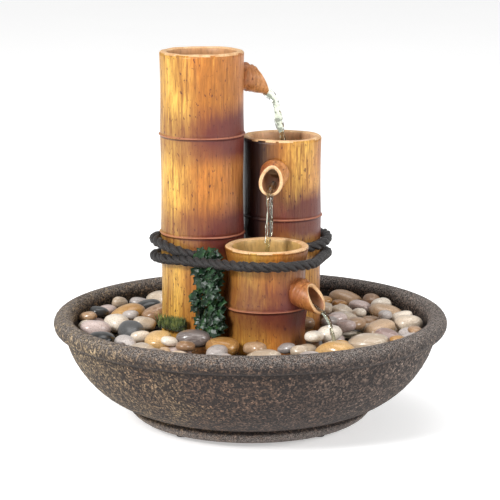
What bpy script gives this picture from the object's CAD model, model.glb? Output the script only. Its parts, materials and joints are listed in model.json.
"""Gives a tabletop bamboo fountain its looks, round the frame that its CAD model packs to."""

import json
import math
import random

import bmesh
import bpy
import numpy as np
from bpy.props import FloatProperty, FloatVectorProperty, IntProperty, PointerProperty
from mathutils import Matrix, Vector


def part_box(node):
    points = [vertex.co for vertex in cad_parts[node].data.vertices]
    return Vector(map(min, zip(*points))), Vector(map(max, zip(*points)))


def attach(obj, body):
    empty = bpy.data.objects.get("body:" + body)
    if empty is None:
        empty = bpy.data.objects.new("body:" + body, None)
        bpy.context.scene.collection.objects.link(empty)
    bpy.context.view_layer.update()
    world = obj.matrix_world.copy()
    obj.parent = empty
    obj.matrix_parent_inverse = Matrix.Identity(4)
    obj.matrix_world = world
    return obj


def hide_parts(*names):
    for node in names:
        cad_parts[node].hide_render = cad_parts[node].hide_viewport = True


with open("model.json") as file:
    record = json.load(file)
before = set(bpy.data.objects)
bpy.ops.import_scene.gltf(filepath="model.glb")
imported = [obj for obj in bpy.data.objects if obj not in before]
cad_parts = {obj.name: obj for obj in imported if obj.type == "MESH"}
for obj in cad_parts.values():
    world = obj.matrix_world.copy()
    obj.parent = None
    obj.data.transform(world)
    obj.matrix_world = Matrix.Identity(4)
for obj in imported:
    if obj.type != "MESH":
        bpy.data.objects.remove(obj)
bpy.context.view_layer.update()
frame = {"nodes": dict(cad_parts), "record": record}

bl_info = {
    "name": "Bamboo tabletop fountain",
    "version": (1, 0, 0),
    "blender": (4, 5, 0),
    "location": "3D View > Sidebar > Fountain",
    "description": "Builds the stalks, bowl, pebbles, rope, greenery and water of a tabletop fountain",
    "category": "Object",
}

MM = 0.001


# ---------------------------------------------------------------- places taken from the frame


def centre_of(node):
    """Middle of a node's box, seen from above."""
    low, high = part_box(node)
    return Vector(((low[0] + high[0]) / 2, (low[1] + high[1]) / 2))


RIDGE = 0.9 * MM  # how far a stalk's rings stand proud of it


class Stalk:
    """Where one stalk stands, read from its CAD solid."""

    def __init__(self, nodes, rings, spout, spout_down, waist):
        node = nodes[0]
        low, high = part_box(node)
        self.nodes = nodes
        self.at = centre_of(node)
        self.radius = (high[0] - low[0]) / 2 - RIDGE
        self.foot = low[2]
        self.top = high[2]
        self.rings = rings
        self.spout = spout
        self.spout_z = self.top - spout_down
        self.waist = waist

    def drawn_in(self, z):
        """How far the wall draws in at a height, between one ring and the next."""
        stops = [self.foot, *self.rings, self.top]
        for low, high in zip(stops, stops[1:]):
            if low <= z <= high:
                return self.waist * math.sin(math.pi * (z - low) / (high - low))
        return 0.0


WALL = 5.4 * MM
STALKS = {
    "tall": Stalk(
        ["tall_stalk", "tall_cup_floor"], [129.5 * MM, 196 * MM], "tall_spout", 18.5 * MM, 0.6 * MM
    ),
    "middle": Stalk(["middle_stalk"], [138 * MM], "middle_spout", 22 * MM, 0.5 * MM),
    "short": Stalk(["short_stalk"], [87 * MM], "short_spout", 29 * MM, 2.4 * MM),
}
TALL, MIDDLE, SHORT = STALKS.values()
SPOUT_FALL = math.radians(16)
SPOUT_R = 8.6 * MM
SPOUT_BORE = 6.4 * MM


def ray(turn):
    """The level unit step in a direction, seen from above."""
    return np.array([math.cos(turn), math.sin(turn)])


def flat_heading(a, b):
    """Direction from one place to another, seen from above."""
    return math.atan2(b[1] - a[1], b[0] - a[0])


SPOUT_TURN = {
    "tall": flat_heading(TALL.at, MIDDLE.at),
    "middle": flat_heading(MIDDLE.at, SHORT.at),
    "short": math.radians(-36),
}
SPOUT_REACH = {"tall": 19.5 * MM, "middle": 20 * MM, "short": 19 * MM}
WATER_LEVEL = {key: stalk.spout_z - 2 * MM for key, stalk in STALKS.items()}
BASIN_WATER, BASIN_WATER_R = 58.5 * MM, 119.5 * MM
THROW = {"tall": 14 * MM, "middle": 9 * MM, "short": 13 * MM}
ROPE_OFF = 4.1 * MM  # from a stalk's wall to the middle of the rope
ROPE_Z = 113 * MM
ROPE_LEAN = 0.085  # how much lower the rope lies for each metre further back
ROPE_CLIMB = math.radians(100)
ROPE_BACK_LIFT = 12 * MM
MOSS_FROM, MOSS_TURN = 203, 46


# ---------------------------------------------------------------- settings


def distance(name, description, default):
    return FloatProperty(name=name, description=description, default=default, unit="LENGTH")


def amount(name, description, default):
    return IntProperty(name=name, description=description, default=default, min=10)


def colour(name, description, default):
    return FloatVectorProperty(
        name=name, description=description, default=default, size=3, subtype="COLOR", min=0, max=1
    )


class FountainSettings(bpy.types.PropertyGroup):
    """Sizes and colours that a user would change."""

    rim_wear: distance("Rim wear", "How uneven the stalks' rims are", 0.5 * MM)
    grain_depth: distance("Grain depth", "Depth of the bowl's stony grain", 0.45 * MM)
    rope_pitch: distance("Rope pitch", "Length of one twist of the rope", 19 * MM)
    ivy_leaves: amount("Ivy leaves", "Leaves on the sprig", 170)
    moss_blades: amount("Moss blades", "Blades in the moss tuft", 900)
    bamboo_gold: colour("Bamboo gold", "Palest paint of the stalks", (0.78, 0.45, 0.085))
    bamboo_tan: colour("Bamboo tan", "Paint of the stalks' middles", (0.50, 0.175, 0.026))
    bamboo_rose: colour("Bamboo rose", "Paint of the stalks' far sides", (0.47, 0.19, 0.075))
    bamboo_scorch: colour("Scorch", "Bands above and below the rings", (0.115, 0.020, 0.018))
    ring_line: colour("Ring line", "Raised line of each ring", (0.44, 0.17, 0.095))
    stone_dark: colour("Stone dark", "Grain between the specks of the bowl", (0.016, 0.010, 0.008))
    stone_pale: colour("Stone pale", "Specks of the bowl", (0.36, 0.31, 0.24))


# ---------------------------------------------------------------- mesh helpers


def new_piece(name, points, faces, body, material, smooth=True):
    """A mesh object in the row frame that rides on a body."""
    mesh = bpy.data.meshes.new(name)
    mesh.from_pydata([tuple(p) for p in points], [], [tuple(f) for f in faces])
    mesh.validate()
    outward(mesh)
    if smooth:
        mesh.shade_smooth()
    piece = bpy.data.objects.new(name, mesh)
    bpy.context.scene.collection.objects.link(piece)
    mesh.materials.append(material)
    if body:
        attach(piece, body)
    return piece


def outward(mesh):
    """Turns every face to look out of the solid."""
    shape = bmesh.new()
    shape.from_mesh(mesh)
    bmesh.ops.recalc_face_normals(shape, faces=shape.faces)
    shape.to_mesh(mesh)
    shape.free()


def lattice_noise(points, size, seed=0):
    """Smooth noise from -1 to 1 at each point, with features of a given size."""
    p = np.asarray(points, dtype=float) / size + 1000.0
    cell = np.floor(p).astype(np.int64)
    f = p - cell
    f = f * f * (3 - 2 * f)
    total = np.zeros(len(p))
    for corner in range(8):
        step = np.array([corner & 1, corner >> 1 & 1, corner >> 2 & 1])
        c = cell + step
        h = c[:, 0] * 374761393 + c[:, 1] * 668265263 + c[:, 2] * 2147483647 + seed * 974711
        h = (h ^ (h >> 13)) * 1274126177 & 0xFFFFFFFF
        h = (h ^ (h >> 16)) & 0xFFFF
        weight = np.prod(np.where(step == 1, f, 1 - f), axis=1)
        total += weight * (h / 32767.5 - 1)
    return total


def ring_faces(rows, steps, closed_rows):
    """Faces of a grid of points that closes round each row, and from last row to first if asked."""
    last = rows if closed_rows else rows - 1
    for i in range(last):
        for k in range(steps):
            a = i * steps + k
            b = i * steps + (k + 1) % steps
            c = (i + 1) % rows * steps + (k + 1) % steps
            d = (i + 1) % rows * steps + k
            yield a, b, c, d


def revolve(outline, steps, centre=(0, 0)):
    """Points and faces of a closed outline of (radius, height) turned round a vertical axis."""
    r, z = np.array(outline).T
    a = np.linspace(0, 2 * math.pi, steps, endpoint=False)
    x = centre[0] + np.outer(r, np.cos(a))
    y = centre[1] + np.outer(r, np.sin(a))
    points = np.stack([x, y, np.repeat(z[:, None], steps, axis=1)], axis=-1).reshape(-1, 3)
    return points, list(ring_faces(len(r), steps, True))


def smooth_path(points, count, closed=False):
    """Evenly spaced points on a Catmull-Rom curve through the given ones."""
    p = np.array(points, dtype=float)
    if closed:
        p = np.vstack([p[-1], p, p[0], p[1]])
    else:
        p = np.vstack([2 * p[0] - p[1], p, 2 * p[-1] - p[-2]])
    out = []
    for i in range(1, len(p) - 2):
        for t in np.linspace(0, 1, 12, endpoint=False):
            out.append(
                0.5
                * (
                    2 * p[i]
                    + (p[i + 1] - p[i - 1]) * t
                    + (2 * p[i - 1] - 5 * p[i] + 4 * p[i + 1] - p[i + 2]) * t * t
                    + (3 * p[i] - p[i - 1] - 3 * p[i + 1] + p[i + 2]) * t**3
                )
            )
    out.append(p[-2] if not closed else out[0])
    out = np.array(out)
    run = np.concatenate([[0], np.cumsum(np.linalg.norm(np.diff(out, axis=0), axis=1))])
    want = np.linspace(0, run[-1], count, endpoint=not closed)
    return np.stack([np.interp(want, run, out[:, k]) for k in range(3)], axis=1)


def path_axes(path, closed=False):
    """Two axes square to the path at each of its points, turning as little as they can."""
    if closed:
        ahead = np.roll(path, -1, axis=0) - np.roll(path, 1, axis=0)
    else:
        ahead = np.gradient(path, axis=0)
    ahead /= np.linalg.norm(ahead, axis=1)[:, None]
    side = np.cross(ahead[0], (0.13, 0.21, 0.97))
    sides = []
    for t in ahead:
        side = side - t * side.dot(t)
        side = side / np.linalg.norm(side)
        sides.append(side)
    sides = np.array(sides)
    return sides, np.cross(ahead, sides)


def tube(path, radii, sides, closed=False):
    """Points and faces of a tube along a path, with a radius for each point and capped ends."""
    side, up = path_axes(path, closed)
    radii = np.broadcast_to(radii, len(path))
    a = np.linspace(0, 2 * math.pi, sides, endpoint=False)[None, :, None]
    circle = np.cos(a) * side[:, None, :] + np.sin(a) * up[:, None, :]
    points = (path[:, None, :] + radii[:, None, None] * circle).reshape(-1, 3)
    faces = list(ring_faces(len(path), sides, closed))
    if not closed:
        faces.append(tuple(range(sides - 1, -1, -1)))
        faces.append(tuple(range((len(path) - 1) * sides, len(path) * sides)))
    return points, faces


def join(parts):
    """One mesh's points and faces from several."""
    points, faces, offset = [], [], 0
    for p, f in parts:
        points.append(np.asarray(p))
        faces.extend([tuple(v + offset for v in face) for face in f])
        offset += len(p)
    return np.vstack(points), faces


def cut_away(piece, cutter):
    """Takes the cutter's shape out of a piece and removes the cutter."""
    modifier = piece.modifiers.new("cut", "BOOLEAN")
    modifier.operation = "DIFFERENCE"
    modifier.solver = "MANIFOLD"
    modifier.object = cutter
    graph = bpy.context.evaluated_depsgraph_get()
    result = bpy.data.meshes.new_from_object(piece.evaluated_get(graph))
    if len(result.polygons) == 0:
        raise RuntimeError(f"cutting {piece.name} left nothing")
    piece.modifiers.remove(modifier)
    piece.data = result
    bpy.data.objects.remove(cutter)


# ---------------------------------------------------------------- material helpers


class Finish:
    """A procedural material, built up from its nodes by short calls."""

    def __init__(self, name, roughness=0.5, **sockets):
        self.material = bpy.data.materials.new(name)
        self.material.use_nodes = True
        self.tree = self.material.node_tree
        self.shader = self.tree.nodes["Principled BSDF"]
        self.shader.inputs["Roughness"].default_value = roughness
        for socket, value in sockets.items():
            self.shader.inputs[socket.replace("_", " ")].default_value = value
        self.coords = self.add("ShaderNodeTexCoord").outputs["Object"]

    def add(self, kind, **values):
        node = self.tree.nodes.new(kind)
        for key, value in values.items():
            setattr(node, key, value)
        return node

    def link(self, source, target):
        self.tree.links.new(source, target)

    def stretched(self, scale):
        """Coordinates scaled along each axis, so that a pattern runs long or short there."""
        node = self.add("ShaderNodeMapping")
        node.inputs["Scale"].default_value = scale
        self.link(self.coords, node.inputs["Vector"])
        return node.outputs["Vector"]

    def noise(self, size, detail=3.0, rough=0.55, vector=None):
        """Noise from 0 to 1 with features of a size in metres."""
        node = self.add("ShaderNodeTexNoise")
        node.inputs["Scale"].default_value = 1 / size
        node.inputs["Detail"].default_value = detail
        node.inputs["Roughness"].default_value = rough
        self.link(vector or self.coords, node.inputs["Vector"])
        return node.outputs["Fac"]

    def cells(self, size, feature="F1", vector=None):
        node = self.add("ShaderNodeTexVoronoi", feature=feature)
        node.inputs["Scale"].default_value = 1 / size
        self.link(vector or self.coords, node.inputs["Vector"])
        return node

    def ramp(self, value, stops):
        """Colours or greys at places along a value."""
        node = self.add("ShaderNodeValToRGB")
        ramp = node.color_ramp
        while len(ramp.elements) < len(stops):
            ramp.elements.new(0.5)
        for element, (at, tone) in zip(ramp.elements, stops):
            element.position = at
            element.color = (*(tone if isinstance(tone, (tuple, list)) else [tone] * 3), 1)
        self.link(value, node.inputs["Fac"])
        return node.outputs["Color"]

    def math(self, operation, a, b=0.0):
        node = self.add("ShaderNodeMath", operation=operation)
        for socket, value in zip(node.inputs, (a, b)):
            if isinstance(value, (int, float)):
                socket.default_value = value
            else:
                self.link(value, socket)
        return node.outputs[0]

    def plus(self, a, b):
        return self.math("ADD", a, b)

    def less(self, a, b):
        return self.math("SUBTRACT", a, b)

    def times(self, a, b):
        return self.math("MULTIPLY", a, b)

    def over(self, a, b):
        return self.math("DIVIDE", a, b)

    def apart(self, a, b, width):
        """How far two values are from each other, as a share of a width."""
        return self.over(self.math("ABSOLUTE", self.less(a, b)), width)

    def mix(self, share, a, b, blend="MIX"):
        node = self.add("ShaderNodeMix", data_type="RGBA", blend_type=blend)
        for socket, value in ((node.inputs[0], share), (node.inputs[6], a), (node.inputs[7], b)):
            if isinstance(value, (int, float)):
                socket.default_value = value
            elif isinstance(value, (tuple, list)):
                socket.default_value = (*value, 1)
            else:
                self.link(value, socket)
        return node.outputs[2]

    def touch(self, body, value, stops, tone):
        """Lays a tone over a colour, as strongly as the stops say for a value."""
        return self.mix(self.ramp(value, stops), body, tone)

    def axis(self, letter):
        node = self.add("ShaderNodeSeparateXYZ")
        self.link(self.coords, node.inputs["Vector"])
        return node.outputs[letter]

    def base(self, source):
        self.link(source, self.shader.inputs["Base Color"])

    def rough(self, source):
        self.link(source, self.shader.inputs["Roughness"])

    def bump(self, source, depth, strength=1.0):
        """Raised and sunk detail of a depth in metres."""
        node = self.add("ShaderNodeBump")
        node.inputs["Distance"].default_value = depth
        node.inputs["Strength"].default_value = strength
        self.link(source, node.inputs["Height"])
        self.link(node.outputs["Normal"], self.shader.inputs["Normal"])


def shade(tone, factor):
    return tuple(min(1.0, c * factor) for c in tone)


def settings():
    return bpy.context.scene.fountain


# ---------------------------------------------------------------- finishes


NIGHT = (0.010, 0.0035, 0.004)  # airbrushed shadow


def bamboo_finish(name, rings, left, right, tones, night=0.0):
    """Painted bamboo: tones run from left to right, scorched round the rings, streaked and flecked.

    night is how much of the left side lies in airbrushed shadow.
    """
    look = Finish(name, 0.38, Coat_Weight=0.12, Coat_Roughness=0.3, Specular_IOR_Level=0.35)
    s = settings()
    long_way = look.stretched((1, 1, 0.07))
    streaks = look.noise(0.0017, 5, 0.65, long_way)
    fine = look.noise(0.0007, 3, 0.6, look.stretched((1, 1, 0.12)))
    broad = look.noise(0.011, 3, 0.5, look.stretched((1, 1, 0.22)))
    patches = look.noise(0.026, 3)
    across = look.over(look.less(look.axis("X"), left), right - left)
    sway = look.times(look.less(patches, 0.5), 0.45)
    body = look.ramp(look.plus(across, sway), tones)
    # dark streaks in the grain, broad stains and thin pale fibres
    body = look.touch(body, broad, [(0.38, 0.6), (0.58, 0.0)], shade(s.bamboo_tan, 0.62))
    body = look.touch(body, streaks, [(0.34, 0.85), (0.52, 0.0)], shade(s.bamboo_tan, 0.42))
    body = look.touch(body, streaks, [(0.58, 0.0), (0.75, 0.45)], shade(s.bamboo_gold, 1.1))
    body = look.touch(body, fine, [(0.36, 0.45), (0.5, 0.0)], shade(s.bamboo_tan, 0.5))
    if rings:
        body = scorched(look, body, rings, across, streaks, patches)
    # sparse dark flecks
    flecks = look.noise(0.0015, 2, 0.5, look.stretched((1, 1, 0.45)))
    body = look.touch(body, flecks, [(0.64, 0.0), (0.70, 0.8)], shade(s.bamboo_scorch, 0.6))
    if night:
        edge = look.plus(across, look.times(look.less(broad, 0.5), 0.16))
        dark = [(night * 0.7, 0.98), (night, 0.7), (night + 0.2, 0.0)]
        body = look.touch(body, edge, dark, NIGHT)
    look.base(body)
    look.rough(look.ramp(streaks, [(0.3, 0.52), (0.7, 0.32)]))
    look.bump(look.plus(streaks, look.times(fine, 0.4)), 0.45 * MM, 0.8)
    return look.material


def scorched(look, body, rings, across, streaks, patches):
    """Airbrushed bands above and below each ring, heavier on the right."""
    s = settings()
    high, low, line_width = 24 * MM, 20 * MM, 2 * MM
    ragged = look.times(look.less(streaks, 0.5), 9 * MM)
    heavy = look.plus(look.times(across, 0.95), look.times(patches, 0.8))
    for ring in rings:
        rise = look.less(look.axis("Z"), ring)
        above = look.over(look.plus(rise, ragged), high)
        below = look.over(look.plus(rise, ragged), -low)
        gap = look.math("MAXIMUM", above, below)
        band = look.times(look.ramp(gap, [(0.1, 1.0), (0.5, 0.75), (1.0, 0.0)]), heavy)
        band = look.math("MINIMUM", band, 0.94)
        body = look.mix(band, body, tuple(s.bamboo_scorch))
        # the ring itself is a thin paler line, with a dark one under it
        line = look.apart(rise, 0.2 * MM, line_width)
        body = look.touch(body, line, [(0.12, 0.7), (0.3, 0.0)], tuple(s.ring_line))
        under = look.apart(rise, -1.1 * MM, line_width)
        body = look.touch(body, under, [(0.15, 0.8), (0.45, 0.0)], shade(s.bamboo_scorch, 0.5))
    return body


def cup_finish(name, tone, top):
    """The inside of a stalk: stained, and darker further down."""
    look = Finish(name, roughness=0.5)
    streaks = look.noise(0.0022, 4, 0.6, look.stretched((1, 1, 0.3)))
    stain = look.ramp(look.noise(0.012, 3), [(0.3, shade(tone, 0.6)), (0.7, tone)])
    depth = look.over(look.less(top, look.axis("Z")), 22 * MM)
    body = look.touch(stain, depth, [(0.15, 0.0), (1.0, 0.6)], shade(tone, 0.3))
    look.base(look.touch(body, streaks, [(0.35, 0.5), (0.55, 0.0)], shade(tone, 0.4)))
    look.bump(streaks, 0.3 * MM, 0.6)
    return look.material


def cut_bamboo_finish():
    """The pale sawn rim."""
    look = Finish("cut bamboo", roughness=0.5)
    fibres = look.noise(0.0011, 4, 0.7)
    rings = look.noise(0.006, 3)
    tone = look.ramp(rings, [(0.3, (0.60, 0.33, 0.14)), (0.7, (0.78, 0.54, 0.30))])
    look.base(look.touch(tone, fibres, [(0.35, 0.5), (0.55, 0.0)], (0.32, 0.13, 0.05)))
    look.bump(fibres, 0.25 * MM, 0.6)
    return look.material


def stone_finish():
    look = Finish("granular stone", roughness=0.78)
    s = settings()
    dark, pale = tuple(s.stone_dark), tuple(s.stone_pale)
    grain = look.cells(0.0012)
    fine = look.noise(0.0008, 4, 0.7)
    clump = look.noise(0.0036, 3)
    broad = look.noise(0.03, 3)
    specks = [(0.34, dark), (0.52, shade(pale, 0.35)), (0.72, pale), (0.95, shade(pale, 2.0))]
    tone = look.ramp(grain.outputs["Color"], specks)
    tone = look.touch(tone, clump, [(0.38, 0.7), (0.6, 0.0)], shade(dark, 1.6))
    tone = look.touch(tone, fine, [(0.38, 0.75), (0.58, 0.0)], dark)
    # tan on one side, dark and reddish in the middle, purple-grey on the other
    side = look.plus(look.times(look.axis("X"), 3.4), look.times(broad, 0.55))
    side = look.plus(side, 0.22)
    tan, brown = (1.0, 0.84, 0.60), (0.42, 0.28, 0.22)
    plum, grey = (0.36, 0.26, 0.24), (0.62, 0.54, 0.55)
    cast = look.ramp(side, [(0.1, tan), (0.38, brown), (0.62, plum), (0.95, grey)])
    tone = look.mix(1.0, tone, cast, "MULTIPLY")
    # the rolled rim and the foot are worn paler
    rim = look.over(look.less(look.axis("Z"), 64 * MM), 11 * MM)
    speckled = look.ramp(fine, [(0.46, 0.0), (0.6, 1.0)])
    worn = look.times(look.ramp(rim, [(0.25, 0.0), (0.9, 0.8)]), speckled)
    tone = look.mix(worn, tone, (0.30, 0.265, 0.24))
    foot = look.over(look.axis("Z"), 12 * MM)
    worn = look.times(look.ramp(foot, [(0.7, 0.75), (1.0, 0.0)]), speckled)
    tone = look.mix(worn, tone, (0.34, 0.29, 0.26))
    # dirt in the groove under the rim
    from_groove = look.apart(look.axis("Z"), 62.5 * MM, 3 * MM)
    look.base(look.touch(tone, from_groove, [(0.2, 0.75), (1.0, 0.0)], shade(dark, 0.8)))
    look.bump(look.plus(grain.outputs["Distance"], fine), 0.3 * MM, 0.75)
    return look.material


def pebble_finish(name, tones, roughness=0.28):
    """Polished stone: each pebble has its own tone, with soft clouds and fine veins."""
    look = Finish(name, roughness=roughness, Coat_Weight=0.3, Coat_Roughness=0.12)
    tone = look.add("ShaderNodeAttribute", attribute_name="tone").outputs["Fac"]
    cloud = look.noise(0.009, 3)
    speck = look.noise(0.0009, 3, 0.6)
    veins = look.noise(0.012, 4, 0.4, look.stretched((1, 1, 3)))
    value = look.plus(tone, look.times(look.less(cloud, 0.5), 0.55))
    body = look.ramp(value, [(0.1, tones[0]), (0.5, tones[1]), (0.9, tones[2])])
    body = look.touch(body, veins, [(0.47, 0.0), (0.5, 0.3), (0.53, 0.0)], shade(tones[2], 1.25))
    look.base(look.touch(body, speck, [(0.34, 0.45), (0.5, 0.0)], shade(tones[0], 0.6)))
    look.bump(speck, 0.1 * MM, 0.3)
    return look.material


def rope_finish():
    look = Finish("dark rope", roughness=0.55, Sheen_Weight=0.1)
    fibres = look.noise(0.0007, 4, 0.7)
    broad = look.noise(0.006, 2)
    black, brown, worn = (0.003, 0.002, 0.002), (0.012, 0.007, 0.006), (0.16, 0.11, 0.09)
    tone = look.ramp(fibres, [(0.4, black), (0.62, brown), (0.82, worn)])
    look.base(look.touch(tone, broad, [(0.55, 0.0), (0.85, 0.3)], (0.07, 0.04, 0.032)))
    look.bump(fibres, 0.4 * MM, 0.9)
    return look.material


def leaf_finish():
    look = Finish("ivy leaf", roughness=0.38, Specular_IOR_Level=0.4)
    patch = look.noise(0.006, 3)
    fine = look.noise(0.0009, 3)
    deep, green, bright = (0.003, 0.012, 0.006), (0.010, 0.042, 0.013), (0.06, 0.17, 0.035)
    tone = look.ramp(patch, [(0.34, deep), (0.56, green), (0.8, bright)])
    look.base(look.touch(tone, fine, [(0.32, 0.6), (0.52, 0.0)], (0.004, 0.014, 0.006)))
    look.bump(fine, 0.2 * MM, 0.5)
    return look.material


def moss_finish():
    look = Finish("moss", roughness=0.8, Sheen_Weight=0.3)
    patch = look.noise(0.004, 3)
    deep, green, bright = (0.03, 0.06, 0.012), (0.12, 0.16, 0.03), (0.34, 0.34, 0.08)
    look.base(look.ramp(patch, [(0.3, deep), (0.5, green), (0.75, bright)]))
    look.bump(patch, 0.3 * MM, 0.6)
    return look.material


def water_finish(name, roughness=0.03, tint=(0.90, 0.93, 0.84)):
    look = Finish(name, roughness=roughness, IOR=1.333, Transmission_Weight=1.0)
    ripple = look.noise(0.004, 2)
    look.shader.inputs["Base Color"].default_value = (*tint, 1)
    look.bump(ripple, 0.5 * MM, 0.35)
    return look.material


def moulded_finish(name, tone, roughness=0.55, **sockets):
    """Moulded plastic, rubber or metal: fine texture, faint cloudiness and dulled patches."""
    look = Finish(name, roughness=roughness, **sockets)
    fine = look.noise(0.0007, 3, 0.6)
    cloud = look.noise(0.012, 3)
    look.base(look.ramp(cloud, [(0.3, shade(tone, 0.78)), (0.7, shade(tone, 1.15))]))
    smooth, dulled = max(roughness - 0.1, 0.05), min(roughness + 0.12, 1.0)
    look.rough(look.ramp(cloud, [(0.3, smooth), (0.7, dulled)]))
    look.bump(fine, 0.08 * MM, 0.5)
    return look.material


# ---------------------------------------------------------------- stalks and spouts


# a ring's outline: millimetres above its middle, and share of the ridge's height
RING_SHAPE = ((-0.9, 0.05), (-0.5, 0.75), (-0.15, 1.0), (0.25, 0.8), (0.55, 0.05), (0.9, -0.35))


def stalk_outline(stalk, cup_floor):
    """Section from the foot up the outside, over the rim, down the cup and along its underside."""
    ring_half, row, shoulder = 1.2 * MM, 1.6 * MM, stalk.top - 1.6 * MM
    outside = []
    stops = [stalk.foot, *stalk.rings, stalk.top]
    last = len(stops) - 2
    for k in range(last + 1):
        low = stops[k] + (0 if k == 0 else ring_half)
        high = stops[k + 1] - (0 if k == last else ring_half)
        count = max(6, int((high - low) / row))
        for i in range(count + 1):
            z = low + (high - low) * (i / count)
            if k < last or z <= shoulder:
                outside.append((stalk.radius - stalk.drawn_in(z), z))
        if k < last:
            for dz, rise in RING_SHAPE:
                outside.append((stalk.radius + RIDGE * rise, stops[k + 1] + dz * MM))
    r, top = stalk.radius, stalk.top
    inner = r - WALL
    rim = [
        (r - 0.15 * MM, shoulder),
        (r - 0.5 * MM, top - 0.7 * MM),
        (r - 1.3 * MM, top - 0.1 * MM),
        (r - 2.6 * MM, top),
        (inner + 1.4 * MM, top - 0.3 * MM),
        (inner + 0.5 * MM, top - 1.1 * MM),
        (inner, top - 2.6 * MM),
    ]
    inside = [(inner, z) for z in np.linspace(top - 5 * MM, cup_floor + 3 * MM, 18)]
    middle, underside = 0.5 * MM, cup_floor - 3 * MM
    floor = [(inner - 1.2 * MM, cup_floor + 0.6 * MM), (inner - 4 * MM, cup_floor), (middle, cup_floor)]
    under = [(middle, underside), (inner, underside), (inner, stalk.foot)]
    return outside + rim + inside + floor + under


def spout_frame(key):
    """Where a spout's axis meets its stalk's wall, and the way it points."""
    stalk = STALKS[key]
    turn = SPOUT_TURN[key]
    out = np.append(ray(turn), 0)
    wall = stalk.radius - stalk.drawn_in(stalk.spout_z)
    start = np.array([stalk.at[0], stalk.at[1], stalk.spout_z]) + wall * out
    along = math.cos(SPOUT_FALL) * out - math.sin(SPOUT_FALL) * np.array([0, 0, 1])
    side = np.array([-math.sin(turn), math.cos(turn), 0])
    up = np.cross(along, side)
    return start, along, side, up


def build_stalk(key, cup_depth, outer, rim, inner):
    """A stalk with fluted walls, an uneven rim, wandering rings, its cup and the spout's hole."""
    stalk = STALKS[key]
    outline = stalk_outline(stalk, stalk.top - cup_depth)
    points, faces = revolve(outline, 256, stalk.at)
    flat = points - np.array([stalk.at[0], stalk.at[1], 0])
    radial = flat * np.array([1, 1, 0])
    length = np.linalg.norm(radial, axis=1)
    radial /= np.maximum(length, 1e-6)[:, None]
    on_outside = length > stalk.radius - 3.2 * MM
    fibres = lattice_noise(points * np.array([1, 1, 0.06]), 1.5 * MM, 3)
    fluting = lattice_noise(points * np.array([1, 1, 0.2]), 9 * MM, 5)
    points += radial * (on_outside * (0.08 * MM * fibres + 0.3 * MM * fluting - 0.12 * MM))[:, None]
    wobble = lattice_noise(flat, 11 * MM, 7)
    near_rim = np.clip((points[:, 2] - stalk.top + 5 * MM) / (5 * MM), 0, 1)
    points[:, 2] += near_rim * (wobble - 1) * settings().rim_wear * 0.6
    # each ring wanders a little up and down as it goes round
    for ring in stalk.rings:
        close = np.exp(-(((points[:, 2] - ring) / (5 * MM)) ** 2))
        points[:, 2] += close * 0.7 * MM * lattice_noise(flat, 16 * MM, 11) * on_outside
    piece = new_piece(f"{key}_bamboo", points, faces, None, outer)
    start, along, _, _ = spout_frame(key)
    shaft = np.array([start - 15 * MM * along, start + 12 * MM * along])
    cutter = new_piece("cutter", *tube(shaft, SPOUT_R - 0.2 * MM, 48), None, outer)
    cut_away(piece, cutter)
    piece.data.materials.clear()
    for look in (outer, rim, inner):
        piece.data.materials.append(look)
    rim_z, rim_r, cup_r = stalk.top - 1.4 * MM, stalk.radius - 0.4 * MM, stalk.radius - 3.6 * MM
    for face in piece.data.polygons:
        c = face.center
        reach = math.hypot(c.x - stalk.at[0], c.y - stalk.at[1])
        if c.z > rim_z and reach < rim_r:
            face.material_index = 1
        elif reach < cup_r:
            face.material_index = 2
    piece.data.shade_smooth()
    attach(piece, "tower")
    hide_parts(*stalk.nodes)


def swelling(x, at, height, width):
    """A soft ridge round a spout, for places x along it."""
    return height * MM * np.exp(-(((x - at * MM) / (width * MM)) ** 2))


def build_spout(key, outer, rim, inner):
    """A spout with a soft collar at the wall, ridges, and a mouth cut on the slant to a long lower lip."""
    start, along, side, up = spout_frame(key)
    reach = SPOUT_REACH[key] / math.cos(SPOUT_FALL)
    steps, outside_rows, lip_rows = 72, 26, 3
    a = np.linspace(0, 2 * math.pi, steps, endpoint=False)
    back = -6 * MM
    stations = np.linspace(0, 1, outside_rows)
    # the slanted cut: the upper lip stops short, the sides bulge and the lower lip runs on
    slant, bulge = 0.78 * SPOUT_R, 1.8 * MM
    end = reach - (1 + np.sin(a)) * slant + bulge * np.cos(a) ** 2
    rows = []
    for t in stations:
        x = back + (end - back) * t
        collar, ridges = swelling(x, 0.8, 1.3, 2.1), swelling(x, 5.2, 0.8, 0.8) + swelling(x, 7.4, 0.4, 0.7)
        taper = 1.1 * MM * np.clip((x - 8 * MM) / (reach - 8 * MM), 0, 1.2) ** 2
        rows.append((x, SPOUT_R + collar + ridges - taper))
    for inset, forward in ((0.5, 0.35), (1.2, 0.45), (1.9, 0.1)):
        rows.append((end + forward * MM, rows[outside_rows - 1][1] - inset * MM))
    for t in stations[::-1]:
        x = back + (end - back) * t
        rows.append((x, np.full(steps, SPOUT_BORE) - 0.7 * MM * np.clip(x / reach, 0, 1)))
    points = []
    for x, r in rows:
        # the mouth is a little narrower at its top, like a drop
        pinch = 1 - 0.12 * np.clip(x / reach, 0, 1) * np.clip(np.sin(a), 0, 1)
        over, above = r * pinch * np.cos(a), r * np.sin(a)
        points.append(start + x[:, None] * along + over[:, None] * side + above[:, None] * up)
    points = np.vstack(points)
    points += 0.12 * MM * lattice_noise(points, 3 * MM, 17)[:, None] * up
    piece = new_piece(f"{key}_spout_bamboo", points, ring_faces(len(rows), steps, True), "tower", outer)
    piece.data.materials.append(rim)
    piece.data.materials.append(inner)
    bore_from = outside_rows + lip_rows
    for face in piece.data.polygons:
        row = face.vertices[0] // steps
        if outside_rows - 1 <= row < bore_from:
            face.material_index = 1
        elif bore_from <= row < len(rows) - 1:
            face.material_index = 2
    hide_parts(STALKS[key].spout)


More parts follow.
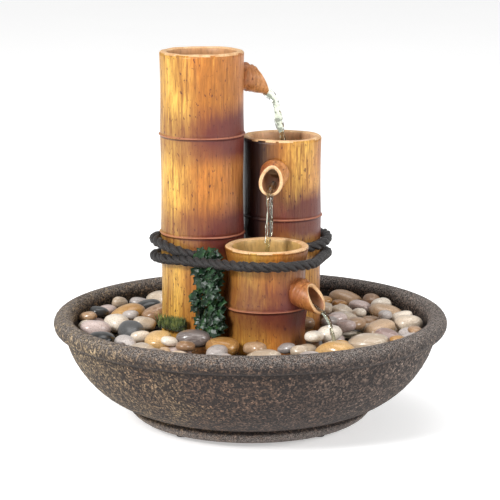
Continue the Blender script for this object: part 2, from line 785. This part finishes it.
# ---------------------------------------------------------------- rope


def circle_round(stalk, off=ROPE_OFF):
    """Centre and radius of a circle that runs round a stalk, off from its wall."""
    return np.array(stalk.at), stalk.radius + off


def onward(start, stop):
    """The direction stop, as reached by turning anticlockwise from start."""
    while stop < start:
        stop += 2 * math.pi
    return stop


def on_rope(circle, turn, lift=0.0):
    """A point of the rope round a stalk, lifted off the tilted plane that the band lies in."""
    x, y = circle[0] + circle[1] * ray(turn)
    return x, y, ROPE_Z - ROPE_LEAN * y + lift


def band_route(stalks):
    """Points round the outside of some stalks."""
    circles = [circle_round(stalk) for stalk in stalks]
    route = []
    for i, here in enumerate(circles):
        start = tangent(circles[i - 1], here)
        stop = onward(start, tangent(here, circles[(i + 1) % len(circles)]))
        route += [on_rope(here, turn) for turn in np.linspace(start, stop, 12)]
    return route


def tangent(a, b):
    """Direction of the outer tangent's normal from circle to circle, going round anticlockwise."""
    d = b[0] - a[0]
    return math.atan2(d[1], d[0]) - math.acos((a[1] - b[1]) / np.linalg.norm(d))


def nest_angle(a, b, side):
    """Direction from circle a to one of the two points where it crosses circle b."""
    d = b[0] - a[0]
    far = np.linalg.norm(d)
    return math.atan2(d[1], d[0]) + side * math.acos((a[1] ** 2 - b[1] ** 2 + far**2) / (2 * a[1] * far))


def second_turn_route():
    """Points that rise from the band, go round behind the two taller stalks and come down to it."""
    left, right = circle_round(TALL), circle_round(MIDDLE)
    nest = circle_round(SHORT, ROPE_OFF + 0.4 * MM)
    left_end, right_end = nest_angle(left, nest, -1) - math.radians(8), nest_angle(right, nest, 1)
    over = tangent(right, left)
    route = []
    for circle, start, end, low in ((right, right_end, over, 5.6 * MM), (left, over, left_end, 2.6 * MM)):
        stop = onward(start, end)
        for turn in np.linspace(start, stop, 15):
            share = min((turn - start if circle is right else stop - turn) / ROPE_CLIMB, 1)
            lift = low + (ROPE_BACK_LIFT - low) * (3 - 2 * share) * share**2
            route.append(on_rope(circle, turn, lift))
    return route


def twisted_rope(name, route, closed, material):
    """Three strands laid round each other, each of finer yarns."""
    path = smooth_path(route, 620 if closed else 460, closed)
    run = np.linalg.norm(np.diff(np.vstack([path, path[:1]]), axis=0), axis=1)
    length = run.sum() if closed else run[:-1].sum()
    turns = round(length / settings().rope_pitch)
    side, up = path_axes(path, closed)
    # a closed route's axes come back turned a little, and the twist takes that up
    slip = math.atan2(side[0].dot(up[-1]), side[0].dot(side[-1])) if closed else 0.0
    parts = []
    share = np.arange(len(path)) / len(path)
    strand_off, strand_r, yarn = 1.7 * MM, 1.75 * MM, 0.5 * MM * np.array([0.5, 0.5, 0.8])
    for strand in range(3):
        a = share * (2 * math.pi * turns + slip) + strand * 2 * math.pi / 3
        centre = path + strand_off * (np.cos(a)[:, None] * side + np.sin(a)[:, None] * up)
        points, faces = tube(centre, strand_r, 14, closed)
        points += lattice_noise(points, 1.6 * MM, 23 + strand)[:, None] * yarn
        parts.append((points, faces))
    piece = new_piece(name, *join(parts), "tower", material)
    return piece


# ---------------------------------------------------------------- pebbles


def loose_parts(node):
    """The separate solids of a CAD node, as arrays of their corners."""
    mesh = frame["nodes"][node].data
    corners = np.empty(len(mesh.vertices) * 3)
    mesh.vertices.foreach_get("co", corners)
    corners = corners.reshape(-1, 3)
    parent = list(range(len(corners)))

    def root(i):
        while parent[i] != i:
            parent[i] = parent[parent[i]]
            i = parent[i]
        return i

    same = {}
    for i, p in enumerate(np.round(corners, 6)):
        j = same.setdefault(tuple(p), i)
        parent[root(i)] = root(j)
    for edge in mesh.edges:
        parent[root(edge.vertices[0])] = root(edge.vertices[1])
    groups = {}
    for i in range(len(corners)):
        groups.setdefault(root(i), []).append(i)
    return [corners[g] for g in groups.values()]


def pebble(corners, seed):
    """A worn stone that fits inside one CAD pebble's own box, along the same axes."""
    middle = (corners.min(axis=0) + corners.max(axis=0)) / 2
    spread = corners - corners.mean(axis=0)
    axes = np.linalg.eigh(spread.T @ spread)[1][:, ::-1]
    half = np.abs((corners - middle) @ axes).max(axis=0)
    shape = bmesh.new()
    bmesh.ops.create_icosphere(shape, subdivisions=4, radius=1)
    unit = np.array([v.co for v in shape.verts])
    faces = [tuple(v.index for v in f.verts) for f in shape.faces]
    shape.free()
    lumps = lattice_noise(unit + seed * 7.3, 0.9, seed) * 0.075
    lumps += lattice_noise(unit + seed * 3.1, 0.45, seed) * 0.02
    square = (np.abs(unit) ** 2.35).sum(axis=1) ** (-1 / 2.35)
    body = unit * (square * (1 + lumps))[:, None]
    body /= np.abs(body).max(axis=0)
    return middle + (body * half) @ axes.T, faces


def build_pebbles(node, name, material, body="basin"):
    parts, tones = [], []
    for i, corners in enumerate(sorted(loose_parts(node), key=lambda c: tuple(c.mean(axis=0)))):
        luck = random.Random(f"{node} {i}")
        part = pebble(corners, luck.randrange(1000))
        parts.append(part)
        tones.extend([luck.random()] * len(part[0]))
    piece = new_piece(name, *join(parts), body, material)
    tone = piece.data.attributes.new("tone", "FLOAT", "POINT")
    tone.data.foreach_set("value", tones)
    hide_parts(node)


# ---------------------------------------------------------------- operators


def aim_at(thing, place, target):
    """Adds a lamp or a camera at a place, turned towards a target."""
    thing.location = place
    thing.rotation_euler = (Vector(target) - thing.location).to_track_quat("-Z", "Y").to_euler()
    bpy.context.scene.collection.objects.link(thing)


class FOUNTAIN_OT_stage(bpy.types.Operator):
    """Floor, lights, backdrop light and camera"""

    bl_idname = "fountain.stage"
    bl_label = "Stage"

    def execute(self, context):
        floor_look = Finish("pale floor", roughness=0.6)
        floor_look.base(floor_look.ramp(floor_look.noise(0.2), [(0.3, 0.88), (0.7, 0.9)]))
        floor_look.shader.inputs["Emission Color"].default_value = (1, 1, 1, 1)
        floor_look.shader.inputs["Emission Strength"].default_value = 0.42
        corners = [(-4, -4, 0), (4, -4, 0), (4, 4, 0), (-4, 4, 0)]
        floor = new_piece("floor", corners, [(0, 1, 2, 3)], None, floor_look.material, smooth=False)
        world = bpy.data.worlds.new("soft white")
        world.use_nodes = True
        background = world.node_tree.nodes["Background"].inputs
        background["Color"].default_value = (1, 1, 1, 1)
        background["Strength"].default_value = 0.5
        context.scene.world = world
        for name, place, power, size in (
            ("key", (-1.3, -1.4, 1.3), 46, 0.5),
            ("fill", (1.5, -0.9, 0.9), 16, 0.7),
            ("top", (0.1, 0.3, 1.9), 10, 1.2),
        ):
            lamp = bpy.data.lights.new(name, "AREA")
            lamp.energy = power
            lamp.size = size
            aim_at(bpy.data.objects.new(name, lamp), place, (0, 0, 0.12))
        camera = bpy.data.objects.new("camera", bpy.data.cameras.new("camera"))
        camera.data.lens = 163.1
        camera.data.sensor_width = 36
        aim_at(camera, (-0.3 * MM, -1.5, 0.42), (-0.3 * MM, 0, 116.94 * MM))
        context.scene.camera = camera
        context.scene.view_settings.view_transform = "Standard"
        return {"FINISHED"}


class FOUNTAIN_OT_bowl(bpy.types.Operator):
    """Stone-look bowl with a rolled rim and a foot"""

    bl_idname = "fountain.bowl"
    bl_label = "Bowl"

    def execute(self, context):
        low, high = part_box("bowl")
        outline = bowl_outline(high[0], low[2], high[2])
        points, faces = revolve(outline, 720)
        reach = np.linalg.norm(points[:, :2], axis=1)
        out = points * np.array([1, 1, 0]) / np.maximum(reach, 1e-6)[:, None]
        depth = settings().grain_depth
        grain = 0.7 * lattice_noise(points, 1.7 * MM, 2) + 0.3 * lattice_noise(points, 3.2 * MM, 4)
        wide = reach > 60 * MM
        points += out * (wide * depth * (grain - 0.6) * 0.7)[:, None]
        piece = new_piece("stone_bowl", points, faces, None, stone_finish())
        plug = next(mount for mount in frame["record"]["mounts"] if mount["name"] == "cord_bore")
        middle, way = np.array(plug["pos_m"]), np.array(plug["axis"])
        shaft = np.array([middle - 25 * MM * way, middle + 25 * MM * way])
        cutter = new_piece("cutter", *tube(shaft, 6.6 * MM, 48), None, piece.data.materials[0])
        cut_away(piece, cutter)
        piece.data.shade_smooth()
        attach(piece, "basin")
        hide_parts("bowl")
        return {"FINISHED"}


def bezier(points, count):
    """Points on a Bezier curve of any order."""
    t = np.linspace(0, 1, count)
    order = len(points) - 1
    weights = [math.comb(order, k) * t**k * (1 - t) ** (order - k) for k in range(order + 1)]
    return [tuple(p) for p in sum(w[:, None] * np.array(p) for w, p in zip(weights, points))]


def bowl_outline(rim_r, foot_z, rim_z):
    """Section from the middle of the underside round the foot, side and rim to the middle of the floor."""
    bead = 6.5 * MM
    bead_x, bead_z = rim_r - bead, rim_z - bead
    foot_r, foot_top, floor_z = 83 * MM, 11.5 * MM, 11.5 * MM
    middle, recess_z = 0.5 * MM, foot_z + 4.5 * MM
    under = [(middle, recess_z), (58 * MM, recess_z), (59.5 * MM, foot_z), (66 * MM, foot_z)]
    foot = bezier([(68 * MM, foot_z), (78 * MM, foot_z + 1.5 * MM), (foot_r, foot_top - 1 * MM)], 16)
    neck_z = bead_z - bead * 0.8
    step = [(foot_r - 0.7 * MM, foot_top), (foot_r - 2.4 * MM, foot_top + 0.6 * MM)]
    low = np.array([foot_r - 2.5 * MM, foot_top + 1 * MM])
    high = np.array([bead_x - 0.4 * MM, neck_z])
    side = arc_between(low, high, math.radians(17.6), 86)
    turns = np.radians(np.linspace(-58, 200, 40))
    rim = [(bead_x + bead * math.cos(a), bead_z + bead * math.sin(a)) for a in turns]
    inner_low = np.array([foot_r - 14 * MM, floor_z])
    inner_high = np.array([bead_x - 6 * MM, neck_z])
    inner = arc_between(inner_low, inner_high, math.radians(12.4), 24)[::-1]
    return under + foot + step + side[1:] + rim + inner + [(middle, floor_z)]


def arc_between(low, high, slope, count):
    """Points on the arc between two places that leaves the first at a slope and bulges outwards."""
    middle, half = (low + high) / 2, np.linalg.norm(high - low) / 2
    u = (high - low) / (2 * half)
    radius = half / math.sin(math.atan2(u[1], u[0]) - slope)
    centre = middle + math.sqrt(radius**2 - half**2) * np.array([-u[1], u[0]])
    start = math.atan2(*(low - centre)[::-1])
    stop = math.atan2(*(high - centre)[::-1])
    turns = np.linspace(start, stop, count)
    return [(centre[0] + radius * math.cos(a), centre[1] + radius * math.sin(a)) for a in turns]


class FOUNTAIN_OT_stalks(bpy.types.Operator):
    """The three bamboo stalks"""

    bl_idname = "fountain.stalks"
    bl_label = "Bamboo stalks"

    def execute(self, context):
        rim = cut_bamboo_finish()
        depths = {"tall": 38 * MM, "middle": 38 * MM, "short": 46 * MM}
        cups = {"tall": (0.62, 0.31, 0.13), "middle": (0.78, 0.44, 0.23), "short": (0.66, 0.40, 0.13)}
        for key, stalk in STALKS.items():
            x, r = stalk.at[0], stalk.radius
            tones, night = self.tones(key)
            outer = bamboo_finish(f"{key} bamboo", stalk.rings, x - r, x + r, tones, night)
            build_stalk(key, depths[key], outer, rim, cup_finish(f"{key} cup", cups[key], stalk.top))
        return {"FINISHED"}

    @staticmethod
    def tones(key):
        """How a stalk's paint runs from left to right, and how far the tall stalk's shadow reaches."""
        s = settings()
        gold, tan, rose = s.bamboo_gold, s.bamboo_tan, s.bamboo_rose
        stops, night = {
            "tall": (
                ((0.0, gold, 0.9), (0.22, gold, 1), (0.48, tan, 1.05), (0.75, tan, 1), (1.0, rose, 1)), 0.0
            ),
            "middle": (((0.0, tan, 0.3), (0.42, tan, 0.85), (0.72, gold, 1), (1.0, rose, 1.15)), 0.3),
            "short": (((0.0, tan, 0.6), (0.3, gold, 0.75), (0.55, tan, 1), (0.9, rose, 0.5)), 0.0),
        }[key]
        return [(at, shade(tone, factor)) for at, tone, factor in stops], night


class FOUNTAIN_OT_spouts(bpy.types.Operator):
    """The spout through each stalk's wall"""

    bl_idname = "fountain.spouts"
    bl_label = "Spouts"

    def execute(self, context):
        rim = cut_bamboo_finish()
        for key, stalk in STALKS.items():
            low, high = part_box(stalk.spout)
            tones = [(0.0, (0.22, 0.05, 0.025)), (0.35, (0.40, 0.13, 0.05)), (0.8, (0.60, 0.27, 0.10))]
            outer = bamboo_finish(f"{key} spout", (), low[0], high[0], tones)
            build_spout(key, outer, rim, cup_finish(f"{key} spout bore", (0.58, 0.25, 0.11), high[2]))
        return {"FINISHED"}


class FOUNTAIN_OT_rope(bpy.types.Operator):
    """Rope lashed round the stalks, and its second turn"""

    bl_idname = "fountain.rope"
    bl_label = "Rope"

    def execute(self, context):
        look = rope_finish()
        band = twisted_rope("rope_lashing", band_route((TALL, SHORT, MIDDLE)), True, look)
        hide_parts("rope_band")
        turn = twisted_rope("rope_upper_turn", second_turn_route(), False, look)
        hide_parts("rope_second_turn")
        return {"FINISHED"}


class FOUNTAIN_OT_pebbles(bpy.types.Operator):
    """The polished pebbles, by colour"""

    bl_idname = "fountain.pebbles"
    bl_label = "Pebbles"

    tones = {
        "cream": ((0.46, 0.36, 0.26), (0.66, 0.55, 0.43), (0.84, 0.76, 0.65)),
        "tan": ((0.27, 0.15, 0.08), (0.44, 0.28, 0.16), (0.60, 0.43, 0.28)),
        "mauve": ((0.27, 0.18, 0.16), (0.42, 0.31, 0.28), (0.60, 0.48, 0.44)),
        "grey": ((0.16, 0.13, 0.12), (0.30, 0.26, 0.24), (0.50, 0.45, 0.42)),
        "amber": ((0.27, 0.12, 0.03), (0.46, 0.24, 0.07), (0.64, 0.41, 0.17)),
        "dark": ((0.012, 0.012, 0.012), (0.03, 0.03, 0.03), (0.08, 0.08, 0.08)),
    }

    def execute(self, context):
        looks = {}
        for kind, tones in self.tones.items():
            looks[kind] = pebble_finish(f"{kind} pebble", tones)
            build_pebbles(f"pebbles_{kind}", f"{kind}_pebbles", looks[kind])
        build_pebbles("deck_pebbles", "deck_stones", looks["tan"], body="tower")
        return {"FINISHED"}


def groove(off):
    """A place in the front groove between the tall and the short stalk, off from both."""
    centre, radius = circle_round(TALL, off)
    return centre + radius * ray(nest_angle((centre, radius), circle_round(SHORT, off), -1))


LEAF_EDGE = [(0, 0.07), (-0.12, 0.32), (0.06, 0.46), (0.24, 0.34), (0.52, 0.58), (0.6, 0.28)]


def leaf(place, ahead, face, length, cup):
    """An ivy leaf: five lobes, creased along its midrib and cupped."""
    right = np.cross(face, ahead)
    right /= np.linalg.norm(right)
    face = np.cross(ahead, right)
    half = [np.array(p) for p in LEAF_EDGE]
    edge = half + [np.array((1.0, 0.0))] + [p * np.array([1, -1]) for p in half[::-1]]
    soft = []
    for i, p in enumerate(edge):
        q = edge[(i + 1) % len(edge)]
        soft += [p, (p + q) / 2]
    heart = np.array((0.3, 0))
    points = []
    for share in (1.0, 0.66, 0.33):
        for p in soft:
            x, y = heart + (p - heart) * share
            lift = 0.16 * abs(y) - cup * (x - 0.35) ** 2 - 0.35 * cup * y * y
            points.append(place + length * (x * ahead + y * right + lift * face))
    middle = place + length * heart[0] * ahead
    count = len(soft)
    faces = []
    for r in range(2):
        for k in range(count):
            n = (k + 1) % count
            faces.append((r * count + k, r * count + n, (r + 1) * count + n, (r + 1) * count + k))
    points.append(middle)
    faces += [(2 * count + k, 2 * count + (k + 1) % count, 3 * count) for k in range(count)]
    return np.array(points), faces


class FOUNTAIN_OT_ivy(bpy.types.Operator):
    """Ivy in the groove between the tall and the short stalk"""

    bl_idname = "fountain.ivy"
    bl_label = "Ivy"

    def execute(self, context):
        luck = random.Random(5)
        low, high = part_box("ivy_sprig")
        base, top = low[2], high[2] + 9 * MM
        out = np.append(groove(12 * MM) - groove(2 * MM), 0)
        out /= np.linalg.norm(out)
        across = np.cross((0, 0, 1), out)
        parts = []
        for lean in (-1, 0, 1):
            route = []
            for t in np.linspace(0, 1, 7):
                p = np.append(groove(8 * MM), base + (top - base) * t * (0.92 - 0.1 * abs(lean)))
                route.append(p + across * (2 + lean * 4 * math.sin(2.6 * t + lean)) * MM)
            parts.append(tube(smooth_path(route, 60), np.linspace(1.1, 0.5, 60) * MM, 8))
        count = settings().ivy_leaves
        for i in range(count):
            t = (i + 0.5) / count
            z = base - 1 * MM + (top - base) * t
            spread = luck.uniform(-11, 13) * (1 - 0.35 * t)
            off = 8.5 + luck.uniform(0, 6.5) + 0.4 * max(spread, 0)
            place = np.append(groove(off * MM), z) + across * (spread + 2.5) * MM
            tilt = luck.uniform(-1.2, 1.2)
            face = out + across * luck.uniform(-0.5, 0.5) + np.array([0, 0, luck.uniform(0.1, 0.9)])
            face /= np.linalg.norm(face)
            ahead = across * math.sin(tilt + spread / 9) + np.array([0, 0, 0.6 * math.cos(tilt) - 0.35])
            ahead -= face * ahead.dot(face)
            ahead /= np.linalg.norm(ahead)
            parts.append(leaf(place, ahead, face, luck.uniform(4.4, 8) * MM, luck.uniform(0.1, 0.6)))
        piece = new_piece("ivy_growth", *join(parts), "tower", leaf_finish())
        solid = piece.modifiers.new("leaf thickness", "SOLIDIFY")
        solid.thickness = 0.35 * MM
        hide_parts("ivy_sprig")
        return {"FINISHED"}


class FOUNTAIN_OT_moss(bpy.types.Operator):
    """Moss at the tall stalk's foot"""

    bl_idname = "fountain.moss"
    bl_label = "Moss"

    def execute(self, context):
        luck = random.Random(9)
        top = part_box("moss_collar")[1][2]
        at, r = np.array(TALL.at), TALL.radius
        cushion = []
        for a in np.radians(np.linspace(MOSS_FROM, MOSS_FROM + MOSS_TURN, 24)):
            cushion.append(np.append(at + (r + 2.2 * MM) * ray(a), top - 9 * MM))
        points, faces = tube(smooth_path(cushion, 90), 2 * MM, 18)
        points += 0.8 * MM * lattice_noise(points, 2.2 * MM, 31)[:, None] * np.array([0.6, 0.6, 1])
        parts = [(points, faces)]
        for _ in range(settings().moss_blades):
            a = math.radians(MOSS_FROM + MOSS_TURN * math.sqrt(luck.random()))
            out = np.append(ray(a), 0)
            root = np.append(at, 0) + out * (r + luck.uniform(0.6, 5.6) * MM)
            root[2] = top - luck.uniform(6, 11) * MM
            tip = root + out * luck.uniform(-0.5, 2.2) * MM + np.array([0, 0, luck.uniform(2, 6.5) * MM])
            tip += np.array([luck.uniform(-1, 1), luck.uniform(-1, 1), 0]) * 1.2 * MM
            path = np.array([root, (root + tip) / 2 + out * 0.4 * MM, tip])
            parts.append(tube(path, np.array([0.35, 0.28, 0.08]) * MM, 4))
        piece = new_piece("moss_tuft", *join(parts), "tower", moss_finish())
        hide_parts("moss_collar")
        return {"FINISHED"}


def disc(centre, radius, z, rings, steps, height):
    """A round sheet of water whose surface is lifted by height(x, y)."""
    points = [(centre[0], centre[1], z + height(centre[0], centre[1]))]
    for i in range(1, rings + 1):
        for k in range(steps):
            a = 2 * math.pi * k / steps
            x = centre[0] + radius * i / rings * math.cos(a)
            y = centre[1] + radius * i / rings * math.sin(a)
            points.append((x, y, z + height(x, y)))
    faces = [(0, 1 + k, 1 + (k + 1) % steps) for k in range(steps)]
    for i in range(rings - 1):
        for k in range(steps):
            n = (k + 1) % steps
            a = 1 + i * steps
            faces.append((a + k, a + steps + k, a + steps + n, a + n))
    return points, faces


def ripples(source, size, wave):
    """Rings that spread and die away from where a stream lands."""

    def height(x, y):
        d = math.hypot(x - source[0], y - source[1])
        return size * math.cos(d / wave * 2 * math.pi) * math.exp(-d / (2.2 * wave))

    return height


def stream(name, route, start_width, end_width, seed, material):
    """Falling water: a flattened strand that twists, necks and thins."""
    path = smooth_path(route, 70)
    side = path_axes(path)[0]
    t = np.linspace(0, 1, len(path))
    parts = []
    for k in range(2):
        sway = 0.35 * start_width * np.sin(9 * t + 2.4 * k + seed) * np.minimum(1, 3 * t)
        centre = path + sway[:, None] * side * (1 if k else -1)
        necks = 1 + 0.18 * np.sin(21 * t + seed + k)
        width = (start_width + (end_width - start_width) * t) * necks * (1 if k == 0 else 0.62)
        points, faces = tube(centre, width, 16)
        lumps = lattice_noise(points, 2.4 * MM, seed + k)[:, None]
        points += 0.25 * start_width * lumps * np.array([1, 1, 0.3])
        parts.append((points, faces))
    piece = new_piece(name, *join(parts), "tower", material)


class FOUNTAIN_OT_water(bpy.types.Operator):
    """Water in the cups, falling from the spouts and lying in the bowl"""

    bl_idname = "fountain.water"
    bl_label = "Water"

    def execute(self, context):
        clear = water_finish("falling water")
        still = water_finish("standing water", roughness=0.04)
        sources = (TALL.at + Vector((10 * MM, 0)), self.landing("tall"), self.landing("middle"))
        for (key, stalk), source in zip(STALKS.items(), sources):
            radius = stalk.radius - WALL - 0.3 * MM
            sheet = disc(stalk.at, radius, WATER_LEVEL[key], 26, 72, ripples(source, 0.35 * MM, 5 * MM))
            piece = new_piece(f"{key}_cup_water", *sheet, "tower", still)
        waves = ripples(self.landing("short"), 0.5 * MM, 7 * MM)
        sheet = disc((0, 0), BASIN_WATER_R, BASIN_WATER, 60, 160, waves)
        basin = new_piece("bowl_water", *sheet, "basin", still)
        widths = {"tall": (2.7, 2.3), "middle": (2.2, 1.8), "short": (1.7, 1.1)}
        ends = {"tall": WATER_LEVEL["middle"], "middle": WATER_LEVEL["short"], "short": BASIN_WATER}
        for i, key in enumerate(STALKS):
            start, along, _, up = spout_frame(key)
            lip = start + along * (SPOUT_REACH[key] / math.cos(SPOUT_FALL)) - up * SPOUT_BORE * 0.75
            flat = np.array([along[0], along[1], 0]) / np.linalg.norm(along[:2])
            drop = lip[2] - ends[key]
            route = [lip - along * 14 * MM, lip - along * 3 * MM]
            for t in (0.15, 0.4, 0.7, 1.0):
                route.append(lip + flat * THROW[key] * math.sqrt(t) - np.array([0, 0, drop * t]))
            wide, thin = widths[key]
            stream(f"{key}_stream", route, wide * MM, thin * MM, 41 + i, clear)
        return {"FINISHED"}

    @staticmethod
    def landing(key):
        """Where the stream from a spout lands, seen from above."""
        start, along, _, _ = spout_frame(key)
        end = start + along * (SPOUT_REACH[key] + THROW[key])
        return Vector((end[0], end[1]))


PUMP_NODES = ["pump_body", "volute", "outlet_adapter", "strainer_cover"]
RUBBER_NODES = ["foot_pads", "cord_stopper", "tube_grommet"]
RUBBER_NODES += ["pump_suction_cups", "pump_cord_gland", "shaft_bushes"]


class FOUNTAIN_OT_hidden_parts(bpy.types.Operator):
    """Finishes of the plinth, the tray, the pump and the fittings"""

    bl_idname = "fountain.hidden_parts"
    bl_label = "Pump and fittings"

    finishes = {
        "black moulding": ((0.02, 0.02, 0.023), 0.5, PUMP_NODES),
        "tray moulding": ((0.035, 0.03, 0.027), 0.6, ["pebble_tray"]),
        "plinth resin": ((0.07, 0.055, 0.042), 0.7, ["plinth"]),
        "black rubber": ((0.018, 0.018, 0.018), 0.75, RUBBER_NODES),
        "potting resin": ((0.04, 0.036, 0.03), 0.45, ["potting"]),
        "magnet": ((0.09, 0.09, 0.095), 0.55, ["rotor_magnet"]),
        "white moulding": ((0.7, 0.7, 0.67), 0.4, ["impeller"]),
        "ground ceramic": ((0.8, 0.8, 0.77), 0.3, ["rotor_shaft"]),
        "grey moulding": ((0.5, 0.5, 0.47), 0.45, ["flow_dial"]),
    }

    def execute(self, context):
        for name, (tone, roughness, nodes) in self.finishes.items():
            self.paint(nodes, moulded_finish(name, tone, roughness))
        self.paint(["stator_core"], moulded_finish("core steel", (0.45, 0.45, 0.47), 0.35, Metallic=1.0))
        self.paint(["stator_coil"], moulded_finish("copper winding", (0.72, 0.33, 0.16), 0.3, Metallic=1.0))
        clear = moulded_finish("clear tube", (0.82, 0.88, 0.9), 0.15, Transmission_Weight=0.85)
        self.paint(["riser_tube"], clear)
        return {"FINISHED"}

    @staticmethod
    def paint(nodes, material):
        for node in nodes:
            mesh = frame["nodes"][node].data
            if not mesh.materials:
                mesh.materials.append(material)
            for slot in frame["nodes"][node].material_slots:
                slot.material = material


OPERATORS = (
    FOUNTAIN_OT_stage,
    FOUNTAIN_OT_bowl,
    FOUNTAIN_OT_stalks,
    FOUNTAIN_OT_spouts,
    FOUNTAIN_OT_rope,
    FOUNTAIN_OT_pebbles,
    FOUNTAIN_OT_ivy,
    FOUNTAIN_OT_moss,
    FOUNTAIN_OT_water,
    FOUNTAIN_OT_hidden_parts,
)


class FOUNTAIN_PT_panel(bpy.types.Panel):
    """Lists the settings and the operators"""

    bl_idname = "FOUNTAIN_PT_panel"
    bl_label = "Bamboo fountain"
    bl_space_type = "VIEW_3D"
    bl_region_type = "UI"
    bl_category = "Fountain"

    def draw(self, context):
        for name in FountainSettings.__annotations__:
            self.layout.prop(context.scene.fountain, name)
        for operator in OPERATORS:
            self.layout.operator(operator.bl_idname)


CLASSES = (FountainSettings, *OPERATORS, FOUNTAIN_PT_panel)


def register():
    for cls in CLASSES:
        bpy.utils.register_class(cls)
    bpy.types.Scene.fountain = PointerProperty(type=FountainSettings)


def unregister():
    del bpy.types.Scene.fountain
    for cls in reversed(CLASSES):
        bpy.utils.unregister_class(cls)


def main():
    register()
    for operator in OPERATORS:
        group, name = operator.bl_idname.split(".")
        getattr(getattr(bpy.ops, group), name)()


if __name__ == "__main__":
    main()
